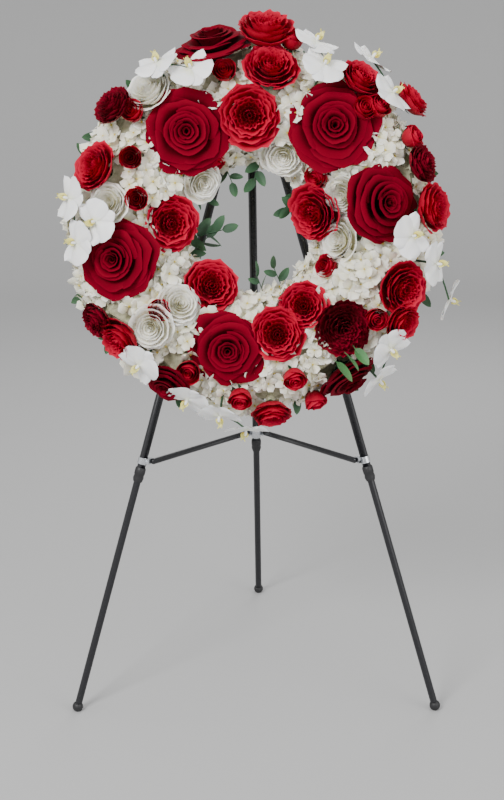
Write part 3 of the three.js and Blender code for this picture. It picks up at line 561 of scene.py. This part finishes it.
# ---------------------------------------------------------------- materials
def new_material(name):
    material = bpy.data.materials.new(name)
    material.use_nodes = True
    nodes, links = material.node_tree.nodes, material.node_tree.links
    return material, nodes, links, nodes["Principled BSDF"]


def set_sockets(shader, **values):
    for key, value in values.items():
        shader.inputs[key.replace("_", " ")].default_value = value


def ramp(nodes, stops):
    node = nodes.new("ShaderNodeValToRGB")
    elements = node.color_ramp.elements
    while len(elements) < len(stops):
        elements.new(0.5)
    for element, (position, colour) in zip(elements, stops):
        element.position = position
        element.color = (*colour, 1)
    return node


def math_node(nodes, links, operation, a, b=None):
    node = nodes.new("ShaderNodeMath")
    node.operation = operation
    for socket, value in zip(node.inputs, (a, b)):
        if value is None:
            continue
        if isinstance(value, (int, float)):
            socket.default_value = value
        else:
            links.new(value, socket)
    return node.outputs[0]


def noise_node(nodes, links, scale, detail=4.0, rough=0.6):
    place = nodes.new("ShaderNodeTexCoord")
    node = nodes.new("ShaderNodeTexNoise")
    set_sockets(node, Scale=scale, Detail=detail, Roughness=rough)
    links.new(place.outputs["Object"], node.inputs["Vector"])
    return node.outputs["Fac"]


def petal_material(
    name, stops, edge, roughness, sheen, vein=0.35, grain=1600.0, soft=0.0, bump=0.25, gloss=0.5,
):
    """Cloth petal: colour from the base to the rim, darker at the base partly as painted shade, a lighter
    edge partly as painted highlight, veins along the petal and a nap.
    """
    material, nodes, links, shader = new_material(name)
    where = nodes.new("ShaderNodeAttribute")
    where.attribute_name = "petal"
    split = nodes.new("ShaderNodeSeparateXYZ")
    links.new(where.outputs["Vector"], split.inputs[0])
    across, along, seed = split.outputs
    cloud = noise_node(nodes, links, 60.0, 5.0)
    # Colour runs from the base to the rim and is darker towards the base. This is partly the petals' own
    # deeper base colour and partly painted shade in the depth of the flower.
    lifted = math_node(nodes, links, "ADD", along, math_node(nodes, links, "MULTIPLY", seed, 0.22))
    depth_shade_and_mottle = math_node(nodes, links, "ADD", lifted, math_node(nodes, links, "MULTIPLY", cloud, 0.3))
    base = ramp(nodes, stops)
    links.new(math_node(nodes, links, "SUBTRACT", depth_shade_and_mottle, 0.26), base.inputs[0])
    # A lighter rim: partly the petals' own paler margin, partly a painted highlight where the rolled rims
    # catch light.
    rim = math_node(nodes, links, "POWER", along, 14.0)
    mix = nodes.new("ShaderNodeMix")
    mix.data_type = "RGBA"
    mix.inputs["B"].default_value = (*edge, 1)
    links.new(math_node(nodes, links, "MULTIPLY", rim, 0.55), mix.inputs["Factor"])
    links.new(base.outputs["Color"], mix.inputs["A"])
    links.new(mix.outputs["Result"], shader.inputs["Base Color"])
    fan = math_node(nodes, links, "MULTIPLY", across, 34.0)
    veins = math_node(nodes, links, "SINE", math_node(nodes, links, "ADD", fan, cloud))
    nap = noise_node(nodes, links, grain, 2.0)
    relief = math_node(
        nodes, links, "ADD", math_node(nodes, links, "MULTIPLY", veins, vein), nap
    )
    node = nodes.new("ShaderNodeBump")
    set_sockets(node, Strength=bump, Distance=0.0006)
    links.new(relief, node.inputs["Height"])
    links.new(node.outputs["Normal"], shader.inputs["Normal"])
    rough = ramp(nodes, [(0.3, (roughness - 0.08,) * 3), (0.7, (roughness + 0.08,) * 3)])
    links.new(cloud, rough.inputs[0])
    links.new(rough.outputs["Color"], shader.inputs["Roughness"])
    weight, tint, sheen_rough = sheen
    set_sockets(shader, Sheen_Weight=weight, Sheen_Roughness=sheen_rough, Sheen_Tint=(*tint, 1))
    set_sockets(shader, Specular_IOR_Level=gloss)
    if soft:
        set_sockets(shader, Subsurface_Weight=soft, Subsurface_Radius=(0.006, 0.005, 0.004))
        set_sockets(shader, Subsurface_Scale=1.0)
    return material


def speckled_material(name, dark, light, roughness, scale, bump, metallic=0.0, sheen=0.0):
    """Plain stuff with a fine mottle: foam, painted metal, moulded plastic."""
    material, nodes, links, shader = new_material(name)
    cloud = noise_node(nodes, links, scale, 6.0)
    colour = ramp(nodes, [(0.3, dark), (0.7, light)])
    links.new(cloud, colour.inputs[0])
    links.new(colour.outputs["Color"], shader.inputs["Base Color"])
    rough = ramp(nodes, [(0.3, (roughness * 0.8,) * 3), (0.7, (min(1, roughness * 1.25),) * 3)])
    links.new(noise_node(nodes, links, scale * 0.3, 3.0), rough.inputs[0])
    links.new(rough.outputs["Color"], shader.inputs["Roughness"])
    node = nodes.new("ShaderNodeBump")
    set_sockets(node, Strength=bump, Distance=0.0005)
    links.new(cloud, node.inputs["Height"])
    links.new(node.outputs["Normal"], shader.inputs["Normal"])
    set_sockets(shader, Metallic=metallic, Sheen_Weight=sheen)
    return material


# Each petal material's first colour stop is its dark base, partly painted shade. Its edge colour is a
# lighter rim, partly painted highlight.
MATERIALS = {
    "velvet": petal_material(
        "velvet_petals",
        [(0.0, (0.008, 0.0, 0.001)), (0.5, (0.08, 0.0, 0.004)), (1.0, (0.17, 0.0, 0.009))],
        (0.25, 0.0, 0.016), 0.85, (0.03, (0.9, 0.1, 0.2), 0.4), gloss=0.08,
    ),
    "garden": petal_material(
        "crimson_petals",
        [(0.0, (0.03, 0.0, 0.002)), (0.45, (0.26, 0.0, 0.01)), (1.0, (0.55, 0.0, 0.03))],
        (0.64, 0.004, 0.05), 0.62, (0.04, (1.0, 0.25, 0.3), 0.45), vein=0.5, gloss=0.2,
    ),
    "peony": petal_material(
        "maroon_petals",
        [(0.0, (0.006, 0.0, 0.001)), (0.5, (0.07, 0.0, 0.004)), (1.0, (0.24, 0.0, 0.014))],
        (0.38, 0.004, 0.03), 0.6, (0.05, (0.9, 0.2, 0.25), 0.4), vein=0.6, gloss=0.2,
    ),
    "white": petal_material(
        "white_petals",
        [(0.0, (0.8, 0.76, 0.42)), (0.4, (0.91, 0.88, 0.7)), (1.0, (0.95, 0.93, 0.86))],
        (0.95, 0.94, 0.9), 0.55, (0.1, (1, 1, 1), 0.5), soft=0.25,
    ),
    "orchid": petal_material(
        "orchid_petals",
        [(0.0, (0.8, 0.82, 0.62)), (0.3, (0.93, 0.93, 0.91)), (1.0, (0.96, 0.96, 0.97))],
        (0.97, 0.97, 0.98), 0.45, (0.08, (1, 1, 1), 0.5), vein=0.3, soft=0.2,
    ),
    "lip": petal_material(
        "orchid_lip",
        [(0.0, (0.75, 0.5, 0.04)), (0.3, (0.8, 0.72, 0.16)), (1.0, (0.84, 0.8, 0.3))],
        (0.86, 0.82, 0.36), 0.5, (0.05, (1, 1, 1), 0.5), soft=0.15,
    ),
    "throat": petal_material(
        "orchid_throat",
        [(0.0, (0.8, 0.3, 0.01)), (1.0, (0.85, 0.42, 0.02))],
        (0.85, 0.5, 0.05), 0.5, (0.05, (1, 1, 1), 0.5),
    ),
    "hydrangea": petal_material(
        "hydrangea_petals",
        [(0.0, (0.74, 0.7, 0.4)), (0.4, (0.88, 0.85, 0.68)), (1.0, (0.94, 0.92, 0.83))],
        (0.94, 0.93, 0.88), 0.6, (0.1, (1, 1, 1), 0.5), vein=0.5, soft=0.2,
    ),
    "eye": petal_material(
        "hydrangea_eye",
        [(0.0, (0.6, 0.42, 0.04)), (1.0, (0.78, 0.62, 0.12))],
        (0.8, 0.66, 0.2), 0.6, (0.0, (1, 1, 1), 0.5),
    ),
    # Colour of the sheet under the hydrangea florets, darker than they are: painted shade in the gaps.
    "core": speckled_material("hydrangea_painted_shade", (0.34, 0.34, 0.2), (0.66, 0.63, 0.46), 0.9, 90.0, 0.5),
    "leaf": petal_material(
        "leaves",
        [(0.0, (0.012, 0.05, 0.016)), (0.5, (0.02, 0.075, 0.03)), (1.0, (0.04, 0.12, 0.045))],
        (0.05, 0.14, 0.06), 0.5, (0.15, (0.7, 0.9, 0.8), 0.4), vein=0.8,
    ),
    "fresh_leaf": petal_material(
        "fresh_leaves",
        [(0.0, (0.03, 0.12, 0.03)), (0.5, (0.05, 0.18, 0.05)), (1.0, (0.09, 0.24, 0.08))],
        (0.1, 0.26, 0.1), 0.5, (0.15, (0.8, 1, 0.8), 0.4), vein=0.8,
    ),
    "foam": speckled_material("foam", (0.025, 0.09, 0.035), (0.05, 0.15, 0.06), 0.95, 700.0, 0.8),
    "black_enamel": speckled_material(
        "black_enamel", (0.007, 0.007, 0.009), (0.013, 0.013, 0.016), 0.3, 900.0, 0.08
    ),
    "black_plastic": speckled_material(
        "black_plastic", (0.01, 0.01, 0.011), (0.02, 0.02, 0.022), 0.5, 1400.0, 0.2
    ),
    "bright_steel": speckled_material(
        "bright_steel", (0.55, 0.57, 0.6), (0.75, 0.77, 0.8), 0.28, 500.0, 0.06, metallic=1.0
    ),
}


# ---------------------------------------------------------------- the wreath
def finish_piece(sheets, name, materials, node=None, body="root"):
    piece = sheets.build(name, [MATERIALS[m] for m in materials])
    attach(piece, body)
    if node:
        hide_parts(node)
    return piece


def dress_roses(greens):
    families = [
        (VELVET_ROSES, "velvet", "velvet_petals"), (GARDEN_ROSES, "garden", "crimson_petals"),
        (WHITE_ROSES, "white", "white_petals"), (PEONIES, "peony", "maroon_petals"),
    ]
    for table, style, slot_name in families:
        for name, (clock, distance, height, tilt, size) in table.items():
            rng = seeded(name)
            sheets = Sheets()
            matrix = flower_matrix(clock, distance, height, tilt, size / 2)
            flower_petals(sheets, style, matrix, rng, rows=11, cols=13)
            finish_piece(sheets, name + "_petals", [style], name)
            low = -0.44 if style == "velvet" else -0.56
            calyx(greens, matrix, rng, low, 0.5)
            stem(greens, matrix, clock, -low + 0.1)


def dress_small_blooms(greens):
    slots = {
        "velvet": "velvet_petals", "garden": "crimson_petals", "white": "white_petals",
        "peony": "maroon_petals",
    }
    for style, slot_name in slots.items():
        sheets = Sheets()
        for i, (own, clock, distance, height, size) in enumerate(BED_BLOOMS):
            if own != style:
                continue
            rng = seeded(f"{style}_small_{i}")
            tilt = natural_tilt(distance, height)
            out = facing(clock, tilt) @ facing(clock, 90)
            matrix = flower_matrix(clock, distance + 10 * out, height + 12, tilt, size / 2)
            flower_petals(sheets, style, matrix, rng, rows=9, cols=11)
            calyx(greens, matrix, rng, -0.56, 0.5)
        finish_piece(sheets, f"small_{style}_blooms", [style])


def dress_buds(greens):
    sheets = Sheets()
    for i, (clock, distance, height) in enumerate(BUDS):
        rng = seeded(f"bud_{i}")
        tilt = natural_tilt(distance, height) + rng.uniform(-12, 12)
        matrix = flower_matrix(clock, distance, height, tilt, BUD_DIAMETER / 2)
        flower_petals(sheets, "bud", matrix, rng, rows=9, cols=9)
        calyx(greens, matrix, rng, -1.08, 0.9)
        stem(greens, matrix, clock, 1.1)
    finish_piece(sheets, "rose_buds", ["garden"])


def dress_orchids(greens):
    for name, places in ORCHID_SPRAYS.items():
        rng = seeded(name)
        sheets = Sheets()
        backs = []
        for clock, distance, height, tilt in places:
            roll = -90 + rng.uniform(-28, 28)
            matrix = flower_matrix(clock, distance, height, tilt, ORCHID_DIAMETER / 2, roll=roll + 180)
            orchid(sheets, matrix, rng)
            backs.append((matrix @ np.array([0, 0, -0.05, 1]))[:3])
        finish_piece(sheets, name + "_blooms", ["orchid", "lip", "throat"], name)
        middle = places[len(places) // 2]
        matrix = flower_matrix(*middle, ORCHID_DIAMETER / 2)
        stem(greens, matrix, middle[0], 0.05)
        for start, end in zip(backs, backs[1:]):
            greens.add(tube_grid(start, end, 1.8 * MM, sag=-0.006), np.eye(4), 0.5, wrap=True)


def dress_hydrangea():
    heads = heads_in_the_way()
    for side, start in BED_CLOCKS.items():
        name = f"hydrangea_bed_{side}"
        rng = seeded(name)
        sheets = Sheets()
        for point, out in floret_places(rng, start, heads):
            tucked = is_covered(point, heads, 1.0, FLORET_RADIUS * 0.8)
            floret(sheets, point - out * (TUCK if tucked else 0), out, rng)
        finish_piece(sheets, f"hydrangea_florets_{side}", ["hydrangea", "eye"], name)
        lay_painted_shade(name)


def small_bloom_matrix(clock, distance, height, size):
    """Matrix from the row frame to a small bloom's own units."""
    tilt = natural_tilt(distance, height)
    return np.linalg.inv(flower_matrix(clock, distance, height, tilt, size / 2))


def lay_painted_shade(node):
    """A darker sheet a little inside the florets: painted shade in the gaps of the hydrangea."""
    mesh = frame["nodes"][node].data.copy()
    work = bmesh.new()
    work.from_mesh(mesh)
    bmesh.ops.remove_doubles(work, verts=work.verts, dist=0.00002)
    work.normal_update()
    lumps = [small_bloom_matrix(*bloom[1:]) for bloom in BED_BLOOMS]
    for vert in work.verts:
        vert.co -= vert.normal * 0.012
        for lump in lumps:
            near = lump @ np.array([*vert.co, 1])
            if np.linalg.norm(near[:3]) < 1.25:
                root = np.linalg.inv(lump) @ np.array([0, 0, -0.7, 1])
                vert.co = Vector(root[:3]).lerp(vert.co, 0.35)
    work.to_mesh(mesh)
    work.free()
    mesh.materials.clear()
    mesh.materials.append(MATERIALS["core"])
    piece = bpy.data.objects.new(node.replace("bed", "shade_sheet"), mesh)
    bpy.context.scene.collection.objects.link(piece)
    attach(piece, "root")


# Leaf sprigs: clock, distance, height, direction of growth (degrees in the ring's plane, 0
# outward along the clock angle), length of a leaf, number of leaves
SPRIGS = [
    (70, 130, 10, 190, 34, 4), (58, 118, 16, 170, 30, 3), (-98, 128, 12, 175, 38, 5),
    (-112, 132, 8, 160, 34, 4), (152, 120, 12, 185, 30, 3), (170, 122, 14, 170, 28, 3),
    (-22, 128, 12, 180, 30, 3), (8, 132, 14, 190, 34, 3), (-60, 132, 8, 165, 30, 3),
]
EDGE_SPRIGS = 26


def sprig(greens, clock, distance, height, direction, leaf, count, rng, kind=0):
    """A short twig with leaves in pairs."""
    a = math.radians(clock + direction)
    grow = np.array([math.sin(a), -0.25, math.cos(a)])
    grow /= np.linalg.norm(grow)
    root = on_ring(clock, distance, height)
    side = np.cross(grow, [0, 1, 0])
    side /= np.linalg.norm(side)
    length = leaf * 0.45 * count
    twig = tube_grid(root * MM, (root + grow * length) * MM, 0.9 * MM, sides=5)
    greens.add(twig, RING, 0.3, kind=kind, wrap=True)
    for i in range(count):
        base = root + grow * length * (i + 0.4) / count
        sign = 1 if i % 2 else -1
        out = grow * 0.75 + side * sign * (0.75 if i < count - 1 else 0.1) + rng.normal(0, 0.12, 3)
        out /= np.linalg.norm(out)
        face = np.cross(out, side * sign) + np.array([0, -0.8, 0]) + rng.normal(0, 0.2, 3)
        face -= out * (face @ out)
        face /= np.linalg.norm(face)
        local = np.eye(4)
        local[:3, :3] = np.stack([out, np.cross(face, out), face], 1) * MM
        local[:3, 3] = base * MM
        size = leaf * rng.uniform(0.85, 1.15)
        grid = leaf_grid(size, size * 0.5, bend=0.12, fold=0.1, rows=9, cols=7, tip=0.8)
        greens.add(grid, RING @ local, rng.uniform(), kind=kind)


def dress_greens(greens):
    rng = seeded("leaf_sprigs")
    for place in SPRIGS:
        sprig(greens, *place, rng)
    for i in range(EDGE_SPRIGS):
        clock = 360 / EDGE_SPRIGS * i + rng.uniform(-4, 4)
        distance = RING_RADIUS + rng.uniform(78, 92)
        sprig(greens, clock, distance, rng.uniform(-24, 0), rng.uniform(-30, 30), 34, 2, rng)
    for clock, turn in ((139, 5), (143, -10), (148, -22)):
        sprig(greens, clock, 292, 104, turn, 44, 1, rng, kind=1)


# ---------------------------------------------------------------- the easel
def dress_easel():
    """Copies of the CAD pieces with welded, smooth-shaded surfaces and their own finishes."""
    slots = {row["node"]: row["material_slot"] for row in frame["record"]["subparts"]}
    for name, node in frame["nodes"].items():
        slot_name = slots[name]
        if slot_name not in ("black_enamel", "black_plastic", "bright_steel", "foam"):
            continue
        mesh = node.data.copy()
        work = bmesh.new()
        work.from_mesh(mesh)
        bmesh.ops.remove_doubles(work, verts=work.verts, dist=0.00002)
        work.to_mesh(mesh)
        work.free()
        mesh.materials.clear()
        mesh.materials.append(MATERIALS[slot_name])
        mesh.shade_smooth()
        mesh.set_sharp_from_angle(angle=math.radians(34))
        piece = bpy.data.objects.new(name + "_finish", mesh)
        bpy.context.scene.collection.objects.link(piece)
        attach(piece, node["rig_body"])
        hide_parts(name)


# ---------------------------------------------------------------- stage, light and camera
CAMERA_TARGET = Vector((-0.0158, -0.0230, 0.594))
CAMERA_DISTANCE = 3.0
CAMERA_ELEVATION = 17.15
CAMERA_AZIMUTH = 0.99
CAMERA_ROLL = -0.69
FOCAL_PIXELS = 1426
STAGE_GREY = 0.46


def cove():
    """A floor that sweeps up behind the wreath as a paper backdrop does."""
    profile = [(-12, 0), (3.4, 0)]
    for i in range(1, 13):
        a = math.pi / 2 * i / 12
        profile.append((3.4 + 1.6 * math.sin(a), 1.6 - 1.6 * math.cos(a)))
    profile.append((5.0, 9))
    verts = [(x, y, z) for y, z in profile for x in (-14, 14)]
    faces = [(2 * i, 2 * i + 1, 2 * i + 3, 2 * i + 2) for i in range(len(profile) - 1)]
    mesh = bpy.data.meshes.new("floor")
    mesh.from_pydata(verts, [], faces)
    mesh.shade_smooth()
    floor = bpy.data.objects.new("floor", mesh)
    bpy.context.scene.collection.objects.link(floor)
    return floor


def dress_stage():
    material, _, _, shader = new_material("stage_grey")
    set_sockets(shader, Base_Color=(STAGE_GREY, STAGE_GREY, STAGE_GREY, 1), Roughness=0.9)
    floor = cove()
    floor.data.materials.append(material)
    world = bpy.data.worlds.new("studio")
    bpy.context.scene.world = world
    world.use_nodes = True
    background = world.node_tree.nodes["Background"]
    background.inputs["Color"].default_value = (1, 1, 1, 1)
    background.inputs["Strength"].default_value = 0.95


def add_light(name, location, target, size, power):
    data = bpy.data.lights.new(name, "AREA")
    data.energy = power
    data.size = size
    lamp = bpy.data.objects.new(name, data)
    bpy.context.scene.collection.objects.link(lamp)
    lamp.location = location
    lamp.rotation_euler = (Vector(target) - Vector(location)).to_track_quat("-Z", "Y").to_euler()


def dress_camera():
    data = bpy.data.cameras.new("camera")
    camera = bpy.data.objects.new("camera", data)
    bpy.context.scene.collection.objects.link(camera)
    data.sensor_width = 36
    data.lens = FOCAL_PIXELS * data.sensor_width / IMAGE_LONG_SIDE
    a, e = math.radians(CAMERA_AZIMUTH), math.radians(CAMERA_ELEVATION)
    back = Vector((math.sin(a) * math.cos(e), -math.cos(a) * math.cos(e), math.sin(e)))
    look = (-back).to_track_quat("-Z", "Y").to_matrix().to_4x4()
    spin = Matrix.Rotation(math.radians(CAMERA_ROLL), 4, "Z")
    camera.matrix_world = Matrix.Translation(CAMERA_TARGET + back * CAMERA_DISTANCE) @ look @ spin
    bpy.context.scene.camera = camera


dress_camera()
dress_stage()
add_light("key", (-1.6, -2.6, 2.8), (0, -0.1, 0.9), 1.2, 110)
add_light("fill", (2.4, -2.0, 1.6), (0, -0.1, 0.8), 2.0, 34)
add_light("rim", (0.6, 2.2, 2.4), (0, 0, 1.0), 1.4, 26)
dress_easel()
all_greens = Sheets()
dress_roses(all_greens)
dress_small_blooms(all_greens)
dress_buds(all_greens)
dress_orchids(all_greens)
dress_hydrangea()
dress_greens(all_greens)
finish_piece(all_greens, "leaves_and_stems", ["leaf", "fresh_leaf"])
